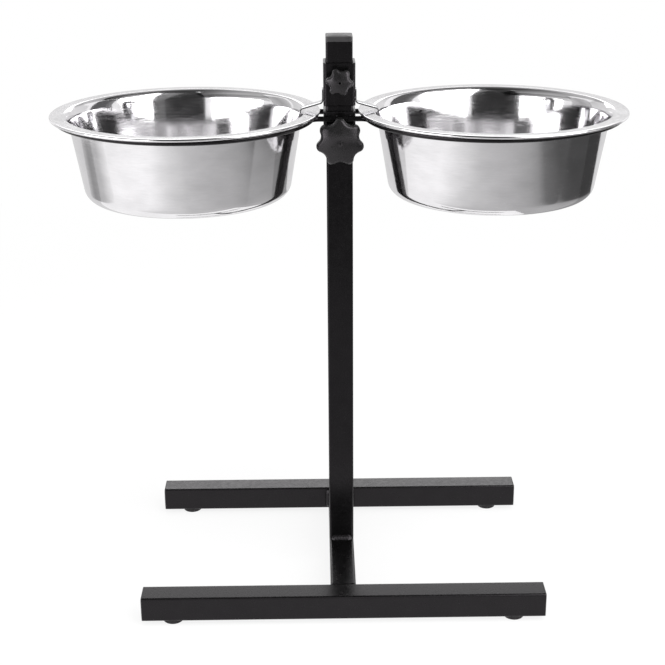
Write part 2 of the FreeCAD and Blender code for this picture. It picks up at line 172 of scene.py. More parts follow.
# %% Powder coat, moulded plastic and rubber
tone_patch = 14 * mm
gloss_patch = 4 * mm
grain_strength = 0.6
black_tint = (1.0, 0.93, 1.0, 1)


def dark_finish(name, tones, roughness, grain, height, shine):
    """A black finish: two tones, two limits of roughness, the size and height of its grain, its shine."""
    material, tree = new_finish(name)
    place = own_place(tree)
    dark, pale = [grey(level) for level in tones]
    feed_shader(tree,
                Base_Color=shade_between(tree, speckle(tree, place, tone_patch), dark, pale),
                Roughness=spread(tree, speckle(tree, place, gloss_patch), *roughness),
                Normal=relief(tree, speckle(tree, place, grain), grain_strength, height),
                Specular_IOR_Level=shine,
                Specular_Tint=black_tint)
    print(name, "roughness", roughness)
    return material


powder_coat = dark_finish("black_powder_coat", tones=(0.0012, 0.0026), roughness=(0.20, 0.28),
                          grain=1.1 * mm, height=0.002 * mm, shine=0.3)
knob_plastic = dark_finish("black_knob_plastic", tones=(0.007, 0.012), roughness=(0.22, 0.32),
                           grain=0.5 * mm, height=0.016 * mm, shine=0.5)
cap_plastic = dark_finish("black_cap_plastic", tones=(0.028, 0.040), roughness=(0.34, 0.44),
                          grain=0.6 * mm, height=0.010 * mm, shine=0.5)
foot_rubber = dark_finish("black_rubber", tones=(0.010, 0.018), roughness=(0.60, 0.75),
                          grain=0.4 * mm, height=0.030 * mm, shine=0.4)

# %% [markdown]
# The bowls are pressed from stainless sheet and polished on a lathe, so their fine lines run round the
# axis. Each bowl keeps its origin on that axis, which lets the finish turn a point into a radius, a
# height and an angle. Noise over these three, stretched far along the angle, gives rings and not specks.
# A second, much larger noise of the same kind gives the faint clouds that hand polishing leaves.

# %% Polished steel of the bowls
line_length = 8 * mm
line_size = 0.9 * mm
line_strength = 0.40
line_height = 0.002 * mm
line_roughness = (0.02, 0.10)
cloud_length = 60 * mm
cloud_size = 20 * mm
cloud_share = 0.7
cloud_roughness = (0.02, 0.05)
lathe_detail = 3.0
dull_steel = (0.76, 0.75, 0.765, 1)
bright_steel = (0.94, 0.925, 0.945, 1)


def polished_steel():
    """Mirror steel with faint lathe lines round the Z axis of its piece."""
    material, tree = new_finish("polished_steel")
    parts = add_node(tree, "ShaderNodeSeparateXYZ", Vector=own_place(tree)).outputs
    x_square = calculate(tree, "MULTIPLY", parts["X"], parts["X"])
    y_square = calculate(tree, "MULTIPLY", parts["Y"], parts["Y"])
    radius = calculate(tree, "POWER", calculate(tree, "ADD", x_square, y_square), 1 / 2)
    angle = calculate(tree, "ARCTAN2", parts["Y"], parts["X"])

    def round_noise(length, size):
        turned = calculate(tree, "MULTIPLY", angle, length)
        way = add_node(tree, "ShaderNodeCombineXYZ", X=radius, Y=parts["Z"], Z=turned)
        return speckle(tree, way.outputs["Vector"], size, lathe_detail)

    lines = round_noise(line_length, line_size)
    clouds = round_noise(cloud_length, cloud_size)
    line_part = calculate(tree, "MULTIPLY", lines, 1 - cloud_share)
    cloud_part = calculate(tree, "MULTIPLY", clouds, cloud_share)
    tone = calculate(tree, "ADD", line_part, cloud_part)
    line_gloss = spread(tree, lines, *line_roughness)
    cloud_gloss = spread(tree, clouds, *cloud_roughness)
    feed_shader(tree,
                Base_Color=shade_between(tree, tone, dull_steel, bright_steel),
                Roughness=calculate(tree, "ADD", line_gloss, cloud_gloss),
                Normal=relief(tree, lines, line_strength, line_height),
                Metallic=1.0)
    print("polished steel with lines of", line_length / mm, "mm to the radian")
    return material


bowl_steel = polished_steel()

# %% [markdown]
# The clips, studs and foot screws are zinc plated: bright, but softer than polished steel, with a
# patchy spangle. The same noise drives colour and gloss, so each patch is both paler and smoother.
# The strips of the clips are shear-cut from plated sheet, so their narrow edges, which face the front and
# the back, are bare steel. Their near-black tone is partly painted shade.
# The direction that a face looks in tells edge from plate.

# %% Zinc plating
spangle_size = 2.5 * mm
spangle_detail = 3.0
dull_zinc = (0.58, 0.58, 0.60, 1)
bright_zinc = (0.72, 0.72, 0.73, 1)
zinc_roughness = (0.26, 0.16)
zinc_grain = 0.4 * mm
zinc_strength = 0.3
zinc_height = 0.004 * mm
# Tone of the cut edges: bare steel, darkened with painted shade.
cut_edge_and_shade_tone = 0.05
plate_until = 0.5
dark_edge_from = 0.8


def zinc_plating():
    """Bright plated steel with a faint patchy spangle, and edges darkened as bare steel with painted shade.
    """
    material, tree = new_finish("plated_steel")
    place = own_place(tree)
    spangle = speckle(tree, place, spangle_size, spangle_detail)
    plate = shade_between(tree, spangle, dull_zinc, bright_zinc)
    facing = add_node(tree, "ShaderNodeTexCoord").outputs["Normal"]
    depthwise = add_node(tree, "ShaderNodeSeparateXYZ", Vector=facing).outputs["Y"]
    # Faces that look front or back are the strip's cut edges, and take that darkened tone.
    cut_edge_and_shade = add_node(tree, "ShaderNodeMapRange", Value=calculate(tree, "ABSOLUTE", depthwise),
                       From_Min=plate_until, From_Max=dark_edge_from).outputs["Result"]
    feed_shader(tree,
                Base_Color=mix_colours(tree, cut_edge_and_shade, plate, grey(cut_edge_and_shade_tone)),
                Roughness=spread(tree, spangle, *zinc_roughness),
                Normal=relief(tree, speckle(tree, place, zinc_grain), zinc_strength, zinc_height),
                Metallic=1.0)
    print("zinc plating with spangles of", spangle_size / mm, "mm")
    return material


plated_steel = zinc_plating()

# %% [markdown]
# Every piece is a skin over a row of loops: a tube is a square loop that moves along a line, a bowl is a
# circle that grows and shrinks. Stretching quads between loops is easy to follow and gives clean meshes.
# A loop row either joins up with its own start, as a hollow tube does, or is closed by a fan at each end.

# %% Helpers that skin loops
def loop_at(outline, middle, first, second):
    """Set a flat outline at a point, with its two directions given."""
    return [middle + first * u + second * v for u, v in outline]


def skin(loops, joined=False):
    """Points and faces of quads stretched over loops of equal length."""
    count = len(loops[0])
    points = [point for loop in loops for point in loop]
    pairs = [(row, row + 1) for row in range(len(loops) - 1)]
    if joined:
        pairs.append((len(loops) - 1, 0))
    faces = []
    for low, high in pairs:
        for step in range(count):
            after = (step + 1) % count
            faces.append((low * count + step, low * count + after, high * count + after, high * count + step))
    if not joined:
        for row in (0, len(loops) - 1):
            hub = len(points)
            points.append(sum(loops[row], Vector()) / count)
            faces += [(row * count + step, row * count + (step + 1) % count, hub) for step in range(count)]
    return points, faces


# %% [markdown]
# A piece is more than its mesh: it has a finish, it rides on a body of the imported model, and it stands
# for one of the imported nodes. Doing all of that in one function means that no piece can miss a step.
# Shading is smooth except where two faces meet at a real edge.

# %% Helpers that make a piece
crease_angle = math.radians(38)
weld_distance = 0.001 * mm


def shade(mesh):
    """Smooth shading that stays sharp at real edges."""
    mesh.shade_smooth()
    mesh.set_sharp_from_angle(angle=crease_angle)


def make_piece(name, skins, body, finish, nodes, origin=Vector()):
    """Make one piece from skins, set it on a body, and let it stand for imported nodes."""
    build = bmesh.new()
    for points, faces in skins:
        corners = [build.verts.new(point - origin) for point in points]
        for face in faces:
            build.faces.new([corners[corner] for corner in face])
    bmesh.ops.remove_doubles(build, verts=build.verts, dist=weld_distance)
    bmesh.ops.recalc_face_normals(build, faces=build.faces)
    mesh = bpy.data.meshes.new(name)
    build.to_mesh(mesh)
    build.free()
    shade(mesh)
    mesh.materials.append(finish)
    piece = bpy.data.objects.new(name, mesh)
    piece.location = origin
    scene.collection.objects.link(piece)
    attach(piece, body)
    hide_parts(*nodes)
    print(name, "has", len(mesh.polygons), "faces")
    return piece


print("edges over", round(math.degrees(crease_angle)), "degrees stay sharp")

# %% [markdown]
# Square tube is rolled from strip, so its corners are round, and those corners carry the thin light
# lines that make a black tube readable. A bevel modifier could round them. Here the outline itself has
# the arcs, with a holding point beside each arc that keeps the flats from shading as if they bulged.

# %% Square outlines
corner_steps = 7
holding = 0.5 * mm


def quarter_turn(steps):
    """Angles spread evenly over a right angle."""
    return [step * math.pi / 2 / steps for step in range(steps + 1)]


def square_outline(side, bend):
    """A square with round corners, as points about the middle."""
    flat = side / 2 - bend
    turns = quarter_turn(corner_steps)
    arc = [(flat + bend * math.cos(turn), flat + bend * math.sin(turn)) for turn in turns]
    corner = [(side / 2, flat - holding)] + arc + [(flat - holding, side / 2)]
    outline = []
    for quarter in range(4):
        spin = Matrix.Rotation(quarter * math.pi / 2, 2)
        outline += [spin @ Vector(point) for point in corner]
    return outline


def square_loops(rows, start, way, first, second):
    """Squares set along a line, from rows of side, corner bend and distance."""
    return [loop_at(square_outline(side, bend), start + way * along, first, second)
            for side, bend, along in rows]


print("square corners of", corner_steps, "steps, with holding points", holding / mm, "mm beside them")

# %% [markdown]
# The bars, the spar and the post are the same tube, cut to length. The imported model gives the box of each,
# so a tube only needs its direction: its length and its thickness follow from the box.
# A solidify modifier could give the wall. Here the skin runs over the outside, round the end edges and
# back through the inside, which makes both faces and the small round of a cut end in one go.

# %% Tubes of the base
edge_steps = 3


def edge_rows(edge, steps=edge_steps):
    """Inset and depth of a rounded edge, from the end face to the side."""
    return [(edge * (1 - math.sin(turn)), edge * (1 - math.cos(turn))) for turn in quarter_turn(steps)]


def hollow_tube(stock, side, start, way, length, first, second):
    """A square tube from a start point, with rounded end edges."""
    rows = edge_rows(stock.edge) + [(0, stock.edge + holding)]
    rows += [(inset, length - depth) for inset, depth in reversed(rows)]
    squares = [(side - 2 * inset, stock.bend - inset, along) for inset, along in rows]
    for along in (length, length - holding, holding, 0):
        squares.append((side - 2 * stock.wall, stock.bend_inside, along))
    return skin(square_loops(squares, start, way, first, second), joined=True)


base_stock = SimpleNamespace(wall=1.5 * mm, bend=2.0 * mm, bend_inside=0.5 * mm, edge=0.3 * mm)


def frame_tube(name, node, way, first, second):
    """A tube of the base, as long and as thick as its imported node."""
    low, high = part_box(node)
    middle = (low + high) / 2
    length = (high - low).dot(way)
    side = (high - low).dot(first)
    tube = hollow_tube(base_stock, side, middle - way * length / 2, way, length, first, second)
    return make_piece(name, [tube], "base", powder_coat, [node])


front_bar = frame_tube("front_crossbar_tube", "front_crossbar", across, inward, upward)
rear_bar = frame_tube("rear_crossbar_tube", "rear_crossbar", across, inward, upward)
frame_tube("centre_spar_tube", "centre_spar", inward, upward, across)
frame_tube("post_tube", "post", upward, across, inward)

# %% [markdown]
# Some tubes have round holes: the sleeves for the clamp screws, and the bars for the foot screws.
# A boolean modifier with a cylinder as its cutter makes such a hole. The result is kept as plain mesh, so
# that nothing depends on the cutter afterwards.

# %% Helper that drills a hole
drill_points = 48


def drill(piece, start, way, diameter, depth):
    """Cut a round hole into a piece, and keep the result as its mesh."""
    cutter_mesh = bpy.data.meshes.new("drill_bit")
    build = bmesh.new()
    turn = way.to_track_quat("Z", "Y").to_matrix().to_4x4()
    bmesh.ops.create_cone(build, cap_ends=True, segments=drill_points, radius1=diameter / 2,
                          radius2=diameter / 2, depth=depth,
                          matrix=Matrix.Translation(start + way * depth / 2) @ turn)
    build.to_mesh(cutter_mesh)
    build.free()
    cutter = bpy.data.objects.new("drill_bit", cutter_mesh)
    scene.collection.objects.link(cutter)
    cut = piece.modifiers.new("hole", "BOOLEAN")
    cut.operation = "DIFFERENCE"
    cut.object = cutter
    bpy.context.view_layer.update()
    drilled = bpy.data.meshes.new_from_object(piece.evaluated_get(bpy.context.evaluated_depsgraph_get()))
    piece.modifiers.remove(cut)
    drilled.name = piece.name
    piece.data = drilled
    shade(drilled)
    bpy.data.objects.remove(cutter)
    print(piece.name, "drilled", round(diameter / mm, 1), "mm")


# %% [markdown]
# The sleeves are short pieces of a larger tube, with deburred ends that show as small light corners.
# Each has a hole in its front wall where the clamp screw goes in. The height and the width of the hole
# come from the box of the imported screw, with a little clearance.

# %% Sleeves
sleeve_stock = SimpleNamespace(wall=2.0 * mm, bend=3.0 * mm, bend_inside=1.0 * mm, edge=0.5 * mm)
hole_clearance = 0.6 * mm
drill_depth_walls = 3


def screw_place(stud_node):
    """The middle and the thickness of a clamp screw."""
    low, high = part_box(stud_node)
    return (low + high) / 2, high.x - low.x


def sleeve(name, node, body, stud_node):
    """A sleeve of the post, drilled where its clamp screw goes in."""
    low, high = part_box(node)
    foot = Vector((0, 0, low.z))
    tube = hollow_tube(sleeve_stock, high.x - low.x, foot, upward, high.z - low.z, across, inward)
    piece = make_piece(name, [tube], body, powder_coat, [node])
    axis, thickness = screw_place(stud_node)
    outside = Vector((0, low.y - sleeve_stock.wall, axis.z))
    drill(piece, outside, inward, thickness + hole_clearance, drill_depth_walls * sleeve_stock.wall)


sleeve("ring_sleeve_tube", "ring_sleeve", "ring_carrier", "height_knob_stud")
sleeve("clip_sleeve_tube", "clip_sleeve", "clip_carrier", "clip_knob_stud")

# %% [markdown]
# Plastic plugs close the tube ends. From outside only a low plate with a soft edge and a slightly
# raised middle shows, and a hollow stem grips the tube inside.
# The plug is one row of square loops: down the inside of the stem, up its outside, out under the plate,
# round its edge and over the crown to the middle.

# %% Plugs of the tube ends
plug_wall = 1.6 * mm
plug_gap = 0.1 * mm
plug_depth = 12 * mm
plug_bend = 2.6 * mm
plug_bend_inside = 1.0 * mm
plug_top = 1.0 * mm
cap_edge = 0.7 * mm
cap_crown = 1.2 * mm
crown_steps = 6
crown_bend_share = 0.25
post_low, post_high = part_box("post")
tube_side = post_high.x - post_low.x
both_sides = (("left", -1), ("right", 1))


def plug(name, node, start, way, first, second, plate):
    """A plug whose plate starts at a tube's end."""
    stem = tube_side - 2 * base_stock.wall - 2 * plug_gap
    hollow = stem - 2 * plug_wall
    rows = [(hollow, plug_bend_inside, -plug_top), (hollow, plug_bend_inside, -plug_depth),
            (stem, plug_bend, -plug_depth), (stem, plug_bend, 0), (tube_side, base_stock.bend, 0)]
    for inset, depth in reversed(edge_rows(cap_edge)):
        rows.append((tube_side - 2 * inset, base_stock.bend - inset, plate - depth))
    top = tube_side - 2 * cap_edge
    for step in range(1, crown_steps):
        share = step / crown_steps
        size = top * (1 - share)
        bend = min(size / 2 - 2 * holding, base_stock.bend - cap_edge + share * tube_side * crown_bend_share)
        rows.append((size, bend, plate + cap_crown * (1 - (1 - share) ** 2)))
    points, faces = skin(square_loops(rows, start, way, first, second))
    points[-1] += way * (plate + cap_crown - (points[-1] - start).dot(way))
    make_piece(name, [(points, faces)], "base", cap_plastic, [node])


for depth_name in ("front", "rear"):
    bar_low, bar_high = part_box(depth_name + "_crossbar")
    bar_middle = (bar_low + bar_high) / 2
    for side_name, side in both_sides:
        node = depth_name + "_" + side_name + "_end_cap"
        cap_low, cap_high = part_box(node)
        bar_end = bar_middle + across * side * (bar_high.x - bar_low.x) / 2
        plate = (cap_high.x if side > 0 else -cap_low.x) - abs(bar_end.x) - cap_crown
        plug(node + "_plug", node, bar_end, across * side, inward, upward, plate)
post_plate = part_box("post_cap")[1].z - post_high.z - cap_crown
plug("post_cap_plug", "post_cap", Vector((0, 0, post_high.z)), upward, across, inward, post_plate)

# %% [markdown]
# Feet and bowls are turned shapes, so a lathe fits: a profile of a few points, each with a radius and a
# height, is spun round an axis. Blender's screw modifier can do that. Here each point of the profile
# becomes a circle, and the circles are skinned as the squares were, so the same helpers serve again.

# %% Helpers that spin a profile
def full_turn(count):
    """Angles spread evenly round a circle."""
    return [2 * math.pi * step / count for step in range(count)]


def circle_outline(radius, count):
    """Points of a circle about the middle."""
    return [(radius * math.cos(turn), radius * math.sin(turn)) for turn in full_turn(count)]


def arc_points(middle, radius, start, end, steps):
    """Points of an arc in a profile, with angles in degrees from the outward direction."""
    turns = [math.radians(start + (end - start) * step / steps) for step in range(steps + 1)]
    return [(middle[0] + radius * math.cos(turn), middle[1] + radius * math.sin(turn)) for turn in turns]


def lathe(profile, origin, count, joined=False):
    """Spin a profile of radii and heights round a vertical axis."""
    loops = [loop_at(circle_outline(radius, count), origin + upward * height, across, inward)
             for radius, height in profile]
    return skin(loops, joined)


# %% [markdown]
# Four round rubber feet sit near the ends of the bars, each held by a screw from below. Their profile is
# a bore, a sunk place for the screw's head, and an outside with two rounded edges.
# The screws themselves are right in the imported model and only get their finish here.

# %% Feet
foot_bore = 4.2 * mm
foot_sink = 8.2 * mm
foot_ledge = 2.6 * mm
foot_round = 1.2 * mm
foot_round_steps = 6
foot_top_round = 0.5 * mm
foot_top_steps = 4
foot_points = 48
screw_hole = 4.2 * mm


def foot_pad(name, node, bar):
    """A rubber foot with a sunk place for its screw, and the screw's hole in the bar."""
    low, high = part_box(node)
    middle = (low + high) / 2
    height = high.z - low.z
    radius = (high.x - low.x) / 2
    top_middle = (radius - foot_top_round, height - foot_top_round)
    profile = [(foot_bore / 2, height), (foot_bore / 2, foot_ledge)]
    profile += [(foot_sink / 2, foot_ledge), (foot_sink / 2, 0)]
    profile += arc_points((radius - foot_round, foot_round), foot_round, -90, 0, foot_round_steps)
    profile += arc_points(top_middle, foot_top_round, 0, 90, foot_top_steps)
    turned = lathe(profile, Vector((middle.x, middle.y, low.z)), foot_points, joined=True)
    make_piece(name, [turned], "base", foot_rubber, [node])
    bar_inside = Vector((middle.x, middle.y, high.z - base_stock.wall))
    drill(bar, bar_inside, upward, screw_hole, drill_depth_walls * base_stock.wall)


for depth_name, bar in (("front", front_bar), ("rear", rear_bar)):
    for side_name in ("left", "right"):
        node = depth_name + "_" + side_name + "_foot"
        foot_pad(node + "_pad", node, bar)
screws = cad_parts["foot_screws"]
screws.data.materials.clear()
screws.data.materials.append(plated_steel)

# %% [markdown]
# Weld beads join the tubes. A bead is laid in small steps, so its face is a stack of curved ripples.
# A row of arcs along the joint gives that: each arc swells a little at every step, and its middle runs
# ahead of its ends, which bends the ripples. The coat covers them, so they share the tubes' finish.

# %% Weld beads
ripple_spacing = 1.6 * mm
ripple_height_share = 0.10
ripple_lead = 0.6
rows_per_ripple = 6
least_ripples = 2
bead_bulge_share = 0.16
bead_arc_steps = 10
bead_end_share = 0.55
bead_taper = 3.0


def weld_bead(start, end, one_side, other_side, leg):
    """A rippled bead along a corner, between two plates whose directions are given."""
    count = max(least_ripples, round((end - start).length / ripple_spacing))
    total = count * rows_per_ripple
    loops = []
    for row in range(total + 1):
        share = row / total
        taper = min(1.0, bead_end_share + bead_taper * min(share, 1 - share))
        middle = start.lerp(end, share)
        loop = [middle]
        for turn in quarter_turn(bead_arc_steps):
            bulge = math.sin(2 * turn)
            straight = 1 / (math.cos(turn) + math.sin(turn))
            wave = abs(math.sin(math.pi * (share * count - ripple_lead * bulge)))
            swell = 1 + bead_bulge_share * bulge - ripple_height_share * bulge * (1 - wave)
            spoke = one_side * math.cos(turn) + other_side * math.sin(turn)
            loop.append(middle + spoke * leg * taper * straight * swell)
        loops.append(loop)
    return skin(loops)


bar_leg = 4.0 * mm
spar_low, spar_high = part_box("centre_spar")
flat_reach = tube_side / 2 - base_stock.bend
beads = []
for side in (-1, 1):
    for way, depth in ((1, spar_low.y), (-1, spar_high.y)):
        foot = Vector((side * tube_side / 2, depth, (spar_low.z + spar_high.z) / 2))
        reach = upward * flat_reach
        beads.append(weld_bead(foot - reach, foot + reach, across * side, inward * way, bar_leg))
for way in (-1, 1):
    foot = Vector((0, way * tube_side / 2, spar_high.z))
    reach = across * flat_reach
    beads.append(weld_bead(foot - reach, foot + reach, inward * way, upward, bar_leg))
make_piece("base_weld_beads", beads, "base", powder_coat, ["base_welds"])

# %% [markdown]
# Each wire ring is one bent rod: two straight ends beside the sleeve, two bends, and a loop that carries
# the bowl under its rim. The rod's line is a short list of runs and arcs, worked out for one half and
# then turned over for the other. Its sizes come from the boxes of the sleeve, the bowl and the ring.

# %% The line of a ring
rod_radius = 2.5 * mm
rod_gap = 0.1 * mm
rod_end_gap = 0.3 * mm
ring_bend = 8 * mm
run_steps = 12
ring_bend_steps = 16
ring_loop_steps = 96
sleeve_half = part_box("ring_sleeve")[1].x
rod_reach = sleeve_half + rod_gap + rod_radius
bowl_low, bowl_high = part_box("right_bowl")
bowl_middle = (bowl_low.x + bowl_high.x) / 2
ring_low, ring_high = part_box("right_ring")
ring_radius = (ring_high.y - ring_low.y) / 2 - rod_radius


def ring_line():
    """Points and directions along one ring, in its own plane."""
    bend_y = rod_reach + ring_bend
    bend_x = bowl_middle - math.sqrt((ring_radius + ring_bend) ** 2 - bend_y ** 2)
    open_angle = math.atan2(bend_y, bowl_middle - bend_x)
    half = []
    for step in range(run_steps):
        half.append((rod_end_gap + (bend_x - rod_end_gap) * step / run_steps, rod_reach, 0.0))
    for step in range(ring_bend_steps):
        turn = (math.pi / 2 - open_angle) * step / ring_bend_steps
        half.append((bend_x + ring_bend * math.sin(turn), bend_y - ring_bend * math.cos(turn), turn))
    for step in range(ring_loop_steps + 1):
        turn = (math.pi - open_angle) * (1 - step / ring_loop_steps)
        x = bowl_middle + ring_radius * math.cos(turn)
        half.append((x, ring_radius * math.sin(turn), turn - math.pi / 2))
    back = [(x, -y, math.pi - way) for x, y, way in reversed(half[:-1])]
    return half + back


print("ring line of", len(ring_line()), "points, with a radius of", round(ring_radius / mm, 2), "mm")

# %% [markdown]
# A circle is swept along that line. A curve with a bevel would do, but its ends would need caps of their
# own. Here the first and the last circles shrink a little, which rounds the edges of the rod's cut ends.
# The ring's plane rises a little towards the far side, where the loop meets the flat of the rim.

# %% Wire rings
rod_points = 28
rod_end_round = 0.5 * mm
rod_height = ring_low.z + rod_radius
ring_rise = math.atan2(ring_high.z - ring_low.z - 2 * rod_radius, ring_high.x - ring_low.x)


def mirrored(loops, side):
    """The same loops for a side, where -1 flips them to the left of the post."""
    return [[Vector((side * point.x, point.y, point.z)) for point in loop] for loop in loops]


def swept_ring(side):
    """A round rod along the ring's line, on the left or the right of the post."""
    tilt = Matrix.Rotation(-ring_rise, 3, "Y")
    line = ring_line()
    end_rows = edge_rows(rod_end_round)
    rows = [(line[0], rod_radius - inset, depth) for inset, depth in end_rows]
    rows += [(place, rod_radius, 0.0) for place in line[1:-1]]
    rows += [(line[-1], rod_radius - inset, -depth) for inset, depth in reversed(end_rows)]
    loops = []
    for (x, y, way), radius, shift in rows:
        ahead = Vector((math.cos(way), math.sin(way), 0))
        beside = Vector((-math.sin(way), math.cos(way), 0))
        loop = loop_at(circle_outline(radius, rod_points), Vector((x, y, 0)) + ahead * shift, beside, upward)
        loops.append([tilt @ point + upward * rod_height for point in loop])
    return skin(mirrored(loops, side))


for side_name, side in both_sides:
    make_piece(side_name + "_ring_wire", [swept_ring(side)], "ring_carrier", powder_coat,
               [side_name + "_ring"])
print("rings rise by", round(math.degrees(ring_rise), 2), "degrees")

# %% [markdown]
# The rods are welded to the sleeve above and below, on the front and on the back: eight short beads.
# They use the same rippled bead, set in the narrow corner between the round rod and the flat sleeve.

# %% Weld beads of the rings
ring_weld_start = 2 * mm
ring_weld_length = 9 * mm
ring_weld_height_share = 0.45
ring_leg = 2.4 * mm
beads = []
for side in (-1, 1):
    for way in (-1, 1):
        for over in (-1, 1):
            height = rod_height + over * ring_weld_height_share * rod_radius
            corner = Vector((side * ring_weld_start, way * sleeve_half, height))
            along = across * side * ring_weld_length
            beads.append(weld_bead(corner, corner + along, inward * way, upward * over, ring_leg))
make_piece("ring_weld_beads", beads, "ring_carrier", powder_coat, ["ring_welds"])

# %% [markdown]
# The bowls are the brightest pieces, and polished steel shows every flaw of its mesh. A lathe with many
# steps keeps their reflections clean. The profile follows both faces of the sheet: floor, corner, wall,
# a mouth that bends in a wide and then in a tight arc, flat rim and the bead rolled under its edge.

# %% Sizes of the bowls
bowl_sheet = 0.8 * mm
bowl_slope = 9.6
bowl_corner = 12 * mm
lip_round = 4 * mm
lip_turn = 45
mouth_round = 14 * mm
flange_width = 12 * mm
rolled_radius = 1.3 * mm
bowl_depth = bowl_high.z - bowl_low.z
rim_radius = (bowl_high.x - bowl_low.x) / 2
rim_height = bowl_high.z
mouth_radius = rim_radius - flange_width
mouth_reach = mouth_radius + (mouth_round - lip_round) * math.sin(math.radians(lip_turn))
mouth_drop = lip_round + (mouth_round - lip_round) * math.cos(math.radians(lip_turn))
print("bowl depth", round(bowl_depth / mm, 1), "mm, rim", round(2 * rim_radius / mm, 1), "mm across")

# %% [markdown]
# One function gives either face of the sheet: the inside with no offset, the outside with the sheet's
# thickness as its offset, because arcs about the same middles stay parallel. The bead closes the
# profile at the rim, and fans close it at the middle of the floor.

# %% Bowls
bowl_points = 256
bottom_steps = 12
bowl_corner_steps = 18
wall_steps = 24
mouth_steps = 14
lip_steps = 10
rim_steps = 5
rolled_steps = 28


def sheet_face(offset):
    """One face of the sheet, from the bottom's middle to the flat of the rim."""
    slope = math.radians(bowl_slope)
    floor = bowl_sheet - bowl_depth
    corner_height = floor + bowl_corner
    spread_out = (corner_height + mouth_drop) * math.sin(slope) - mouth_round - bowl_corner
    corner_middle = (mouth_reach + spread_out / math.cos(slope), corner_height)
    mouth_middle = (mouth_reach, -mouth_drop)
    lip_middle = (mouth_radius, -lip_round)
    wall_end = 180 - bowl_slope
    lip_start = 90 + lip_turn
    bottom = [(corner_middle[0] * step / bottom_steps, floor - offset) for step in range(1, bottom_steps)]
    corner = arc_points(corner_middle, bowl_corner + offset, -90, -bowl_slope, bowl_corner_steps)
    mouth = arc_points(mouth_middle, mouth_round - offset, wall_end, lip_start, mouth_steps)
    lip = arc_points(lip_middle, lip_round - offset, lip_start, 90, lip_steps)
    wall = []
    for step in range(1, wall_steps):
        share = step / wall_steps
        wall.append(tuple(low + (high - low) * share for low, high in zip(corner[-1], mouth[0])))
    return bottom + corner + wall + mouth + lip[1:]


def bowl_profile():
    """The closed profile of a bowl, with heights from the top of its rim."""
    rolled_middle = rim_radius - rolled_radius
    meet = 180 - math.degrees(math.asin((rolled_radius - bowl_sheet) / rolled_radius))
    rolled = arc_points((rolled_middle, -rolled_radius), rolled_radius, 90, meet - 360, rolled_steps)

    def rim_row(end, height):
        width = end - mouth_radius
        return [(mouth_radius + width * step / rim_steps, height) for step in range(1, rim_steps)]

    flat = rim_row(rolled_middle, 0.0)
    under = rim_row(rolled[-1][0], -bowl_sheet)
    return sheet_face(0) + flat + rolled + under[::-1] + sheet_face(bowl_sheet)[::-1]


for side_name, side in both_sides:
    axis_top = Vector((side * bowl_middle, 0, rim_height))
    make_piece(side_name + "_bowl_shell", [lathe(bowl_profile(), axis_top, bowl_points)],
               side_name + "_dish", bowl_steel, [side_name + "_bowl"], axis_top)

# %% [markdown]
# The clips are strips of springy sheet, bent twice: a strap on the sleeve, an arm over the rim and a hook
# inside the bowl. The corners of that line follow from the rim and the bowl's wall, so that the clip
# keeps its small gap to both.

# %% The line of a clip
clip_sheet = 1.2 * mm
clip_width = 12 * mm
clip_bend = 2.5 * mm
clip_slope = math.radians(16)
strap_height = 13 * mm
hook_length = 9.5 * mm
hook_gap = 0.8 * mm
clip_gap = 2.5 * mm


def clip_corners():
    """The corners of the clip's lower face, from the strap's top to the hook's tip."""
    wall_way = math.radians(bowl_slope)
    fall = math.tan(clip_slope)
    flat_end = bowl_middle - mouth_radius
    wall_x = bowl_middle - mouth_reach + (mouth_round + hook_gap) * math.cos(wall_way)
    wall_z = rim_height - mouth_drop + (mouth_round + hook_gap) * math.sin(wall_way)
    arm_over_mouth = rim_height - lip_round + (lip_round + clip_gap) / math.cos(clip_slope)
    arm_z = arm_over_mouth - (wall_x - flat_end) * fall
    climb = (arm_z - wall_z) / (math.cos(wall_way) - math.sin(wall_way) * fall)
    hook_top = Vector((wall_x - climb * math.sin(wall_way), 0, wall_z + climb * math.cos(wall_way)))
    hook_tip = hook_top + Vector((math.sin(wall_way), 0, -math.cos(wall_way))) * hook_length
    strap_foot = Vector((sleeve_half, 0, hook_top.z + (hook_top.x - sleeve_half) * fall))
    return [strap_foot + upward * strap_height, strap_foot, hook_top, hook_tip]


print("clip corners in mm:", [[round(value / mm, 1) for value in corner] for corner in clip_corners()])

# %% [markdown]
# Sheet is bent over a round nose, so the corners of the line become arcs. An arc touches both straight
# runs at the same distance from the corner, which follows from its radius and its angle.
# Each row keeps the direction of the line and the way that the strip's face looks, for the next step.

# %% Round bends of a strip
clip_run_steps = 7
clip_bend_steps = 12


def bent_strip(corners, bends):
    """Points, directions and facings along a line with round bends at its inner corners."""
    rows = []

    def add_row(point, way):
        rows.append((point, way, Vector((-way.z, 0, way.x))))

    start = corners[0]
    for before, corner, after, bend in zip(corners, corners[1:], corners[2:], bends):
        way_in = (corner - before).normalized()
        way_out = (after - corner).normalized()
        turn = way_in.angle(way_out)
        setback = bend * math.tan(turn / 2)
        bend_start = corner - way_in * setback
        for step in range(clip_run_steps):
            add_row(start.lerp(bend_start, step / clip_run_steps), way_in)
        bend_middle = corner + (way_out - way_in).normalized() * (bend / math.cos(turn / 2))
        axis = way_in.cross(way_out).normalized()
        for step in range(clip_bend_steps + 1):
            spin = Matrix.Rotation(turn * step / clip_bend_steps, 3, axis)
            add_row(bend_middle + spin @ (bend_start - bend_middle), spin @ way_in)
        start = corner + way_out * setback
    way_last = (corners[-1] - corners[-2]).normalized()
    for step in range(1, clip_run_steps + 1):
        add_row(start.lerp(corners[-1], step / clip_run_steps), way_last)
    return rows


clip_rows = bent_strip(clip_corners(), [clip_bend + clip_sheet, clip_bend])
print("clip line of", len(clip_rows), "rows")

# %% [markdown]
# A flat plane with thickness would have razor edges. Here a small rounded oblong is swept along the bent
# line, so that the long edges catch light as a stamped strip's do. The oblong shrinks at both ends, as
# the rod's circle does.

# %% Clips
clip_edge = 0.35 * mm
clip_corner_steps = 4
end_round_share = 0.9


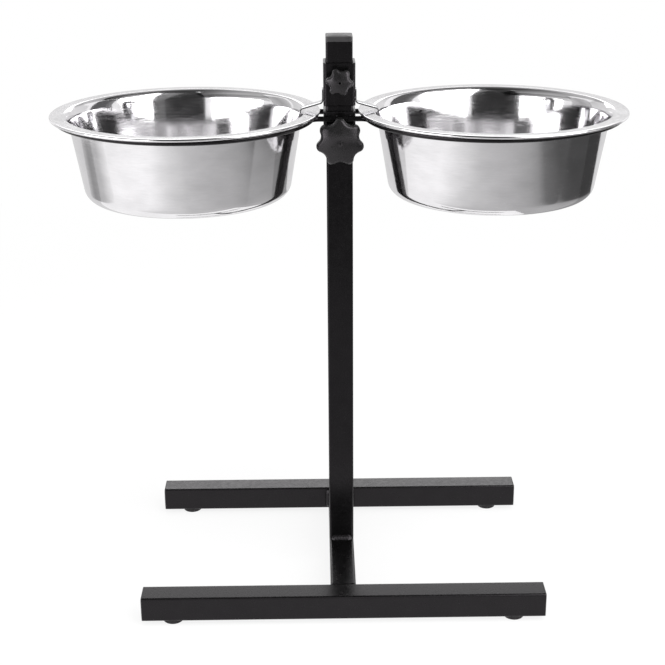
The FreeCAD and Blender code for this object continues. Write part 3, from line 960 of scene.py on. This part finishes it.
def oblong_outline(width, height, round_edge):
    """A flat oblong with round corners."""
    outline = []
    for sign_u, sign_v, turn in ((1, 1, 0), (-1, 1, 90), (-1, -1, 180), (1, -1, 270)):
        middle = (sign_u * (width / 2 - round_edge), sign_v * (height / 2 - round_edge))
        outline += arc_points(middle, round_edge, turn, turn + 90, clip_corner_steps)
    return outline


def strip_section(middle, facing, inset=0.0):
    """The strip's section at a point, made smaller by an inset towards its ends."""
    width = clip_width - 2 * inset
    thick = clip_sheet - 2 * inset
    outline = oblong_outline(width, thick, clip_edge - inset * end_round_share)
    return loop_at(outline, middle, inward, facing)


def clip_strip(side):
    """One clip, on the left or the right of the post."""
    rows = [(point + facing * clip_sheet / 2, way, facing) for point, way, facing in clip_rows]
    top, top_way, top_facing = rows[0]
    tip, tip_way, tip_facing = rows[-1]
    end_rows = edge_rows(clip_edge)
    loops = [strip_section(top + top_way * depth, top_facing, inset) for inset, depth in end_rows]
    loops += [strip_section(middle, facing) for middle, way, facing in rows[1:-1]]
    loops += [strip_section(tip - tip_way * depth, tip_facing, inset) for inset, depth in reversed(end_rows)]
    return skin(mirrored(loops, side))


for side_name, side in both_sides:
    make_piece(side_name + "_clip_strip", [clip_strip(side)], "clip_carrier", plated_steel,
               [side_name + "_clip"])

# %% [markdown]
# The star knobs are moulded: round lobes for the fingers, scallops between them, a crowned face with a
# small pit, and a hub behind. Their outline is made of two arcs that run into each other, so its radius
# at any angle is one formula. Insetting it only makes the lobe arc smaller and the scallop arc larger.

# %% Outline of the star knobs
large_star = SimpleNamespace(lobes=7, lobe_round=5 * mm, scallop_round=8 * mm, turn=math.radians(90),
                             head=13 * mm, crown=5.0 * mm, edge=2.6 * mm, hub=19 * mm, pit=1.6 * mm)
small_star = SimpleNamespace(lobes=6, lobe_round=3.2 * mm, scallop_round=5 * mm, turn=math.radians(112),
                             head=9 * mm, crown=3.2 * mm, edge=1.8 * mm, hub=13 * mm, pit=2.4 * mm)


def star_radius(angle, star, size, inset):
    """Radius of the star outline at an angle, moved inwards by an inset."""
    half_step = math.pi / star.lobes
    lobe_middle = size / 2 - star.lobe_round
    middles_apart = star.lobe_round + star.scallop_round
    scallop_middle = lobe_middle * math.cos(half_step)
    scallop_middle += math.sqrt(middles_apart ** 2 - (lobe_middle * math.sin(half_step)) ** 2)
    lobe = star.lobe_round - inset
    scallop = star.scallop_round + inset
    normal_x = (scallop_middle * math.cos(half_step) - lobe_middle) / middles_apart
    normal_y = scallop_middle * math.sin(half_step) / middles_apart
    joint = math.atan2(normal_y * lobe, lobe_middle + normal_x * lobe)
    off_lobe = abs((angle - star.turn + half_step) % (2 * half_step) - half_step)
    if off_lobe <= joint:
        aside = lobe_middle * math.sin(off_lobe)
        return lobe_middle * math.cos(off_lobe) + math.sqrt(lobe ** 2 - aside ** 2)
    off_scallop = half_step - off_lobe
    aside = scallop_middle * math.sin(off_scallop)
    return scallop_middle * math.cos(off_scallop) - math.sqrt(max(0.0, scallop ** 2 - aside ** 2))


print("star knobs with", large_star.lobes, "and", small_star.lobes, "lobes")

# %% [markdown]
# A knob is one more row of loops, this time about the axis of its screw: out of the bore, over the hub,
# behind the lobes, round their edge and over the crowned face into the pit. Each loop holds a radius and
# a height for every angle, so that round rows and star rows can follow each other.

# %% Star knobs
knob_points = 336
knob_edge_steps = 6
face_steps = 14
face_spread = 0.8
back_edge = 0.8 * mm
hub_edge = 0.6 * mm
hub_fillet = 0.5 * mm
bore_bevel = 0.4 * mm
bore_share = 0.5
stud_gap = 0.05 * mm
pit_edge = 0.25 * mm
pit_wall_share = 0.4
pit_wall_depth_share = 0.9
pit_tip_share = 1 / 12
pit_tip_depth_share = 1.2


def about_axis(axis, radius, turn, depth):
    """A point about an axis that runs from front to back."""
    return Vector((axis.x + radius * math.cos(turn), depth, axis.z + radius * math.sin(turn)))


def star_knob(name, node, body, stud_node, star):
    """A lobed knob that faces the front, with its hub, its bore and its crowned face."""
    low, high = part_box(node)
    axis, thickness = screw_place(stud_node)
    bore = thickness / 2 + stud_gap
    front = high.y - low.y
    hub = front - star.head
    size = high.z - low.z if star.lobes % 2 == 0 else 2 * (high.z - axis.z)
    turns = full_turn(knob_points)

    def star_radii(inset):
        return [star_radius(turn, star, size, inset) for turn in turns]

    def round_row(radius, height):
        return [(radius, height)] * knob_points

    def back_row(inset, height):
        return [(radius, height) for radius in star_radii(inset)]

    def face_row(radii, drop=0.0):
        return [(radius, front - star.crown * (radius / (size / 2)) ** 2 - drop) for radius in radii]

    rows = [round_row(bore, hub + star.head * bore_share)]
    rows += [round_row(bore, bore_bevel), round_row(bore + bore_bevel, 0)]
    rows += [round_row(star.hub / 2 - inset, depth) for inset, depth in edge_rows(hub_edge)]
    rows += [round_row(star.hub / 2, hub - hub_fillet), round_row(star.hub / 2 + hub_fillet, hub)]
    rows += [back_row(inset, hub + depth) for inset, depth in edge_rows(back_edge)]
    rows += [face_row(star_radii(0), star.edge + holding)]
    for inset, depth in reversed(edge_rows(star.edge, knob_edge_steps)):
        rows.append(face_row(star_radii(inset), depth))
    face_edge = star_radii(star.edge)
    for step in range(1, face_steps):
        share = (1 - step / face_steps) ** face_spread
        rows.append(face_row([radius * share + star.pit * (1 - share) for radius in face_edge]))
    rows += [round_row(star.pit / 2 + pit_edge, front), round_row(star.pit / 2, front - pit_edge / 2)]
    rows += [round_row(star.pit * pit_wall_share, front - star.pit * pit_wall_depth_share)]
    rows += [round_row(star.pit * pit_tip_share, front - star.pit * pit_tip_depth_share)]
    loops = []
    for row in rows:
        loops.append([about_axis(axis, radius, turn, high.y - height)
                      for turn, (radius, height) in zip(turns, row)])
    make_piece(name, [skin(loops)], body, knob_plastic, [node],
               Vector((axis.x, low.y, axis.z)))
    print(name, "is", round(size / mm, 1), "mm across, front at", round(low.y / mm, 1), "mm")


star_knob("height_knob_star", "height_knob", "height_grip", "height_knob_stud", large_star)
star_knob("clip_knob_star", "clip_knob", "clip_grip", "clip_knob_stud", small_star)

# %% [markdown]
# Between hub and sleeve each knob's screw shows for a moment.
# A thread is a ridge that climbs as it goes round, so the radius follows the height less the angle. A
# screw modifier could wind one. Here the whole screw is one skin, which thins towards both of its ends.

# %% Clamp screws
thread_points = 32
rows_per_pitch = 10
thread_depth_share = 0.54
ridge_steepness = 1.3
ridge_flat = 0.15
thread_bevel = 1.0 * mm
thread_end_share = 0.72
large_pitch = 1.25 * mm
small_pitch = 1.0 * mm


def threaded_stud(name, node, body, pitch):
    """A screw along Y with a real thread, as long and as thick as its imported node."""
    low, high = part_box(node)
    middle = (low + high) / 2
    radius = (high.x - low.x) / 2
    length = high.y - low.y
    total = round(length / pitch * rows_per_pitch)
    loops = []
    for row in range(total + 1):
        height = length * row / total
        lead = min(1.0, min(height, length - height) / thread_bevel)
        end_taper = thread_end_share + (1 - thread_end_share) * lead
        loop = []
        for step in range(thread_points):
            share = step / thread_points
            ridge = abs(((height / pitch - share) % 1.0) * 2 - 1)
            groove = min(1.0, max(0.0, ridge * ridge_steepness - ridge_flat))
            reach = (radius - thread_depth_share * pitch * groove) * end_taper
            loop.append(about_axis(middle, reach, 2 * math.pi * share, high.y - height))
        loops.append(loop)
    make_piece(name, [skin(loops)], body, plated_steel, [node])


threaded_stud("height_knob_screw", "height_knob_stud", "height_stud", large_pitch)
threaded_stud("clip_knob_screw", "clip_knob_stud", "clip_stud", small_pitch)

# %% [markdown]
# Each clamp screw turns in a nut that is welded on the front of its sleeve.
# The nut is a hexagon whose corners are cut back by a cone, as on a real turned blank. A loop about the
# axis gives both: at each angle it takes the smaller of the hexagon's reach and the cone's.

# %% Weld nuts
nut_points = 96
nut_chamfer = 0.2 * mm
nut_chamfer_share = 0.3
nut_face_step = 0.1 * mm


def weld_nut(name, node, body, stud_node):
    """A hexagon nut on the front of a sleeve."""
    low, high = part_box(node)
    middle = (low + high) / 2
    bore = screw_place(stud_node)[1] / 2 + stud_gap
    flat = (high.z - low.z) / 2
    point_reach = (high.x - low.x) / 2
    thick = high.y - low.y
    chamfer = (point_reach - flat) * nut_chamfer_share + nut_chamfer
    turns = full_turn(nut_points)

    def bore_row(height):
        return [about_axis(middle, bore, turn, high.y - height) for turn in turns]

    def hexagon_row(cut, height):
        reaches = [min(flat / math.cos(turn % (math.pi / 3) - math.pi / 6), cut) for turn in turns]
        return [about_axis(middle, reach, turn, high.y - height) for reach, turn in zip(reaches, turns)]

    rows = [hexagon_row(point_reach, 0), hexagon_row(point_reach, thick - chamfer)]
    rows += [hexagon_row(flat + nut_face_step, thick), bore_row(thick), bore_row(0)]
    make_piece(name, [skin(rows, joined=True)], body, powder_coat, [node])


weld_nut("ring_sleeve_hexagon_nut", "ring_sleeve_nut", "ring_carrier", "height_knob_stud")
weld_nut("clip_sleeve_hexagon_nut", "clip_sleeve_nut", "clip_carrier", "clip_knob_stud")

# %% [markdown]
# The photograph was taken from a little above, with a long lens, and slightly tilted. A camera is placed
# by three turns and a point. The turns are built from the direction of view, so each has a plain meaning:
# yaw to the side, pitch downwards and roll about the line of sight.

# %% Camera
picture_side = 665
focal_pixels = 1400.0
sensor_side = 36
camera_place = Vector((-21.6, -1312.9, 737.1)) * mm
yaw = math.radians(0.6)
pitch = math.radians(20.17)
roll = math.radians(0.4)
ahead = Vector((math.sin(yaw) * math.cos(pitch), math.cos(yaw) * math.cos(pitch), -math.sin(pitch)))
right = Vector((math.cos(yaw), -math.sin(yaw), 0))
down = ahead.cross(right)
picture_right = right * math.cos(roll) + down * math.sin(roll)
picture_up = right * math.sin(roll) - down * math.cos(roll)
camera_turn = Matrix((picture_right, picture_up, -ahead)).transposed().to_4x4()
camera_data = bpy.data.cameras.new("photo_camera")
camera_data.sensor_width = sensor_side
camera_data.lens = focal_pixels / picture_side * sensor_side
camera = bpy.data.objects.new("photo_camera", camera_data)
camera.matrix_world = Matrix.Translation(camera_place) @ camera_turn
scene.collection.objects.link(camera)
scene.camera = camera
print("lens", round(camera_data.lens, 2), "mm")

# %% [markdown]
# The stage is a white studio. For the camera, and for anything mirrored, the world and the floor are
# plain white, and the floor keeps a faint shadow because a share of it is still lit matt paint.
# For other rays the world is a soft fill, so that the lamps decide the light on the object.

# %% White world
scene.view_settings.view_transform = "Standard"
fill_level = 0.5


def seen_directly(tree):
    """A value that is 1 for camera, mirror and see-through rays, and 0 for others."""
    path = add_node(tree, "ShaderNodeLightPath").outputs
    seen = calculate(tree, "MAXIMUM", path["Is Camera Ray"], path["Is Glossy Ray"])
    return calculate(tree, "MAXIMUM", seen, path["Is Transmission Ray"])


world = bpy.data.worlds.new("white_studio")
world.use_nodes = True
scene.world = world
sky_tree = world.node_tree
sky_level = add_node(sky_tree, "ShaderNodeMapRange", Value=seen_directly(sky_tree),
                     To_Min=fill_level, To_Max=1.0)
feed(sky_tree, sky_tree.nodes["Background"], Color=grey(1), Strength=sky_level.outputs["Result"])
print("white world with a fill of", fill_level)

# %% [markdown]
# The floor mixes matt paint, which takes light and shadow, with a plain white glow. Near the stand a
# share of paint keeps the shadow, and further out the glow takes over, so the floor has no visible end.

# %% Floor
floor_half = 6.0
paint_level = 0.9
paint_roughness = 0.9
white_share_near = 0.85
white_from = 0.5
white_beyond = 1.6


def floor_paint():
    """Pale paint that turns into plain white away from the stand."""
    material, tree = new_finish("pale_floor_paint")
    feed_shader(tree, Base_Color=grey(paint_level), Roughness=paint_roughness, Specular_IOR_Level=0.0)
    distance = calculate(tree, "LENGTH", own_place(tree), kind="ShaderNodeVectorMath")
    white_share = add_node(tree, "ShaderNodeMapRange", Value=distance, From_Min=white_from,
                           From_Max=white_beyond, To_Min=white_share_near, To_Max=1.0)
    seen_share = calculate(tree, "MULTIPLY", white_share.outputs["Result"], seen_directly(tree))
    glow = add_node(tree, "ShaderNodeEmission")
    mix = add_node(tree, "ShaderNodeMixShader", Fac=seen_share)
    join(tree, tree.nodes["Principled BSDF"].outputs["BSDF"], mix.inputs[1])
    join(tree, glow.outputs["Emission"], mix.inputs[2])
    feed(tree, tree.nodes["Material Output"], Surface=mix.outputs["Shader"])
    return material


def flat_sheet(name, middle, reach, finish):
    """A flat rectangle that reaches two ways from its middle."""
    first, second = reach
    corners = [middle - first - second, middle + first - second,
               middle + first + second, middle - first + second]
    mesh = bpy.data.meshes.new(name)
    mesh.from_pydata(corners, [], [(0, 1, 2, 3)])
    mesh.materials.append(finish)
    sheet = bpy.data.objects.new(name, mesh)
    scene.collection.objects.link(sheet)
    return sheet


flat_sheet("floor", Vector(), (across * floor_half, inward * floor_half), floor_paint())
print("floor of", 2 * floor_half, "m each way")

# %% [markdown]
# The light is soft and comes from large lamps, as in a product photograph. A low wide one stands in front
# on the left, a tall one in front on the right and a slim one far behind, and the bowls mirror all three.
# A fourth hangs overhead for the light from above, and stays out of the mirrors. An area lamp gives wide
# soft highlights on the black coat, where a point lamp would give hard spots.

# %% Lamps
lamp_target = Vector((0, 0, 0.45))


def soft_lamp(name, place, width, height, power):
    """A large soft lamp that faces the bowls."""
    data = bpy.data.lights.new(name, "AREA")
    data.shape = "RECTANGLE"
    data.size = width
    data.size_y = height
    data.energy = power
    lamp = bpy.data.objects.new(name, data)
    lamp.location = place
    lamp.rotation_euler = (lamp_target - place).to_track_quat("-Z", "Y").to_euler()
    scene.collection.objects.link(lamp)
    print(name, "of", power, "watts")
    return lamp


soft_lamp("left_lamp", place=Vector((-1.45, -0.98, 0.74)), width=1.9, height=0.70, power=14.5)
soft_lamp("right_lamp", place=Vector((1.30, -1.10, 1.65)), width=2.2, height=2.5, power=55)
soft_lamp("rear_lamp", place=Vector((0, 3.5, 1.72)), width=2.4, height=0.66, power=11)
top_lamp = soft_lamp("top_lamp", place=Vector((0, -0.2, 2.6)), width=2.0, height=2.0, power=28)
top_lamp.visible_glossy = False

# %% [markdown]
# Polished steel has no colour of its own: it looks like what stands round it. In an all-white room the
# bowls would fade into the background, so sheets of painted shade stand in for the darker parts of the room,
# and the bowls mirror them as dark bands between the white lamps. These sheets are seen by mirror rays alone.
# Each is a clear sheet that dims what lies behind it, and a colour ramp along one direction lets it fade.

# %% Helper that makes a sheet of painted shade for the mirrors
def painted_mirror_shade(name, middle, reach, fade, stops):
    """A sheet of painted shade for mirrors, with a level for each distance in metres along the direction of
    its fade.
    """
    material, tree = new_finish(name)
    along = calculate(tree, "DOT_PRODUCT", own_place(tree), fade, kind="ShaderNodeVectorMath")
    start = stops[0][0]
    end = stops[-1][0]
    share = add_node(tree, "ShaderNodeMapRange", Value=along, From_Min=start, From_Max=end)
    ramp = add_node(tree, "ShaderNodeValToRGB", Fac=share.outputs["Result"])
    marks = ramp.color_ramp.elements
    while len(marks) < len(stops):
        marks.new(1.0)
    for mark, (distance, level) in zip(marks, stops):
        mark.position = (distance - start) / (end - start)
        mark.color = grey(level)
    clear = add_node(tree, "ShaderNodeBsdfTransparent", Color=ramp.outputs["Color"])
    feed(tree, tree.nodes["Material Output"], Surface=clear.outputs["BSDF"])
    sheet = flat_sheet(name, middle, reach, material)
    sheet.visible_camera = False
    sheet.visible_diffuse = False
    sheet.visible_transmission = False
    sheet.visible_volume_scatter = False
    sheet.visible_shadow = False
    print(name, "with levels", [level for distance, level in stops])


# %% [markdown]
# The places of the sheets follow from the bowls: a mirror image, followed back from the bowl's wall, points
# at the spot in the room where its painted shade has to lie. The darkest are in front, overhead and on the
# right, and make the dark bands. Grey ones on the left and behind soften the way from dark to white.

# %% Painted shade for the mirrors
# Each sheet below is painted shade that only mirrors see, in place of a darker part of the room.
ceiling = 2.2
low_ceiling = 2.19
left_far = Vector((-0.56, 0.83, 0))
painted_mirror_shade("front_painted_shade", middle=Vector((-0.021, -0.558, 1.35)),
            reach=(Vector((0.319, 0.074, 0)), upward * 0.85), fade=upward,
            stops=((0.5, 0.03), (1.66, 0.05)))
painted_mirror_shade("ceiling_painted_shade", middle=Vector((0.025, -0.04, ceiling)),
            reach=(across * 0.475, inward * 0.64), fade=inward,
            stops=((-0.6, 0.05), (0.2, 0.10), (0.6, 0.25)))
painted_mirror_shade("rear_ceiling_painted_shade", middle=Vector((0, 2.0, ceiling)),
            reach=(across * 1.6, inward * 1.4), fade=inward,
            stops=((0.6, 0.40), (2.0, 0.56), (3.4, 0.70)))
painted_mirror_shade("right_ceiling_painted_shade", middle=Vector((1.075, 0.20, low_ceiling)),
            reach=(across * 0.575, inward * 0.72), fade=across,
            stops=((0.5, 0.10), (1.65, 0.10)))
painted_mirror_shade("left_ceiling_painted_shade", middle=Vector((-1.725, -0.8, ceiling)),
            reach=(across * 1.275, inward * 1.4), fade=-across,
            stops=((0.45, 0.10), (0.8, 0.22), (1.4, 0.45), (3.0, 0.60)))
painted_mirror_shade("left_high_painted_shade", middle=Vector((-1.45, -0.98, 1.635)),
            reach=(left_far * 1.5, upward * 0.565), fade=left_far,
            stops=((-0.95, 0.15), (-0.70, 0.22), (-0.13, 0.50), (0.60, 0.68)))
painted_mirror_shade("left_painted_shade", middle=Vector((-1.7, 0.85, 1.20)),
            reach=(inward * 0.6, upward * 0.75), fade=inward,
            stops=((0.25, 0.62), (0.75, 0.42), (1.45, 0.62)))
painted_mirror_shade("right_painted_shade", middle=Vector((1.5, 0.45, 1.20)),
            reach=(inward * 0.5, upward * 0.80), fade=inward,
            stops=((-0.05, 0.30), (0.25, 0.12), (0.95, 0.12)))
painted_mirror_shade("rear_painted_shade", middle=Vector((0, 0.65, 0.67)),
            reach=(across * 0.65, upward * 0.27), fade=upward,
            stops=((0.40, 0.80), (0.70, 0.77), (0.94, 0.68)))

# %% [markdown]
# The floor falls into shade towards the right, which the bowls' outsides mirror as a soft slide from white
# to dark. It is dimmer behind the stand too, in front of the post, and in a narrow strip on the left.
# The same sheets do it, laid a few millimetres above the floor, at different heights where two overlap.

# %% Shades on the floor for the mirrors
painted_mirror_shade("floor_shade", middle=Vector((1.2, -2.12, 2 * mm)),
            reach=(across * 1.8, inward * 1.88), fade=across,
            stops=((-0.60, 1.0), (-0.35, 0.74), (-0.10, 0.57), (0.45, 0.42),
                   (0.60, 0.37), (0.71, 0.30), (0.80, 0.16), (1.00, 0.09)))
painted_mirror_shade("right_shade", middle=Vector((1.64, 0.355, 2 * mm)),
            reach=(across * 1.36, inward * 0.595), fade=across,
            stops=((0.28, 0.46), (0.60, 0.40), (0.72, 0.37), (0.86, 0.29), (0.98, 0.10), (1.10, 0.07)))
painted_mirror_shade("rear_shade", middle=Vector((0, 1.4, 5 * mm)),
            reach=(across * 2.0, inward * 1.1), fade=inward,
            stops=((0.3, 0.72), (2.5, 0.72)))
painted_mirror_shade("front_shade", middle=Vector((0, -2.45, 4 * mm)),
            reach=(across * 0.5, inward * 1.55), fade=-inward,
            stops=((0.90, 1.0), (1.05, 0.35)))
painted_mirror_shade("left_shade", middle=Vector((-1.16, 0.32, 3 * mm)),
            reach=(across * 0.16, inward * 0.42), fade=inward,
            stops=((-0.10, 0.92), (0.15, 0.55), (0.50, 0.45), (0.74, 0.80)))
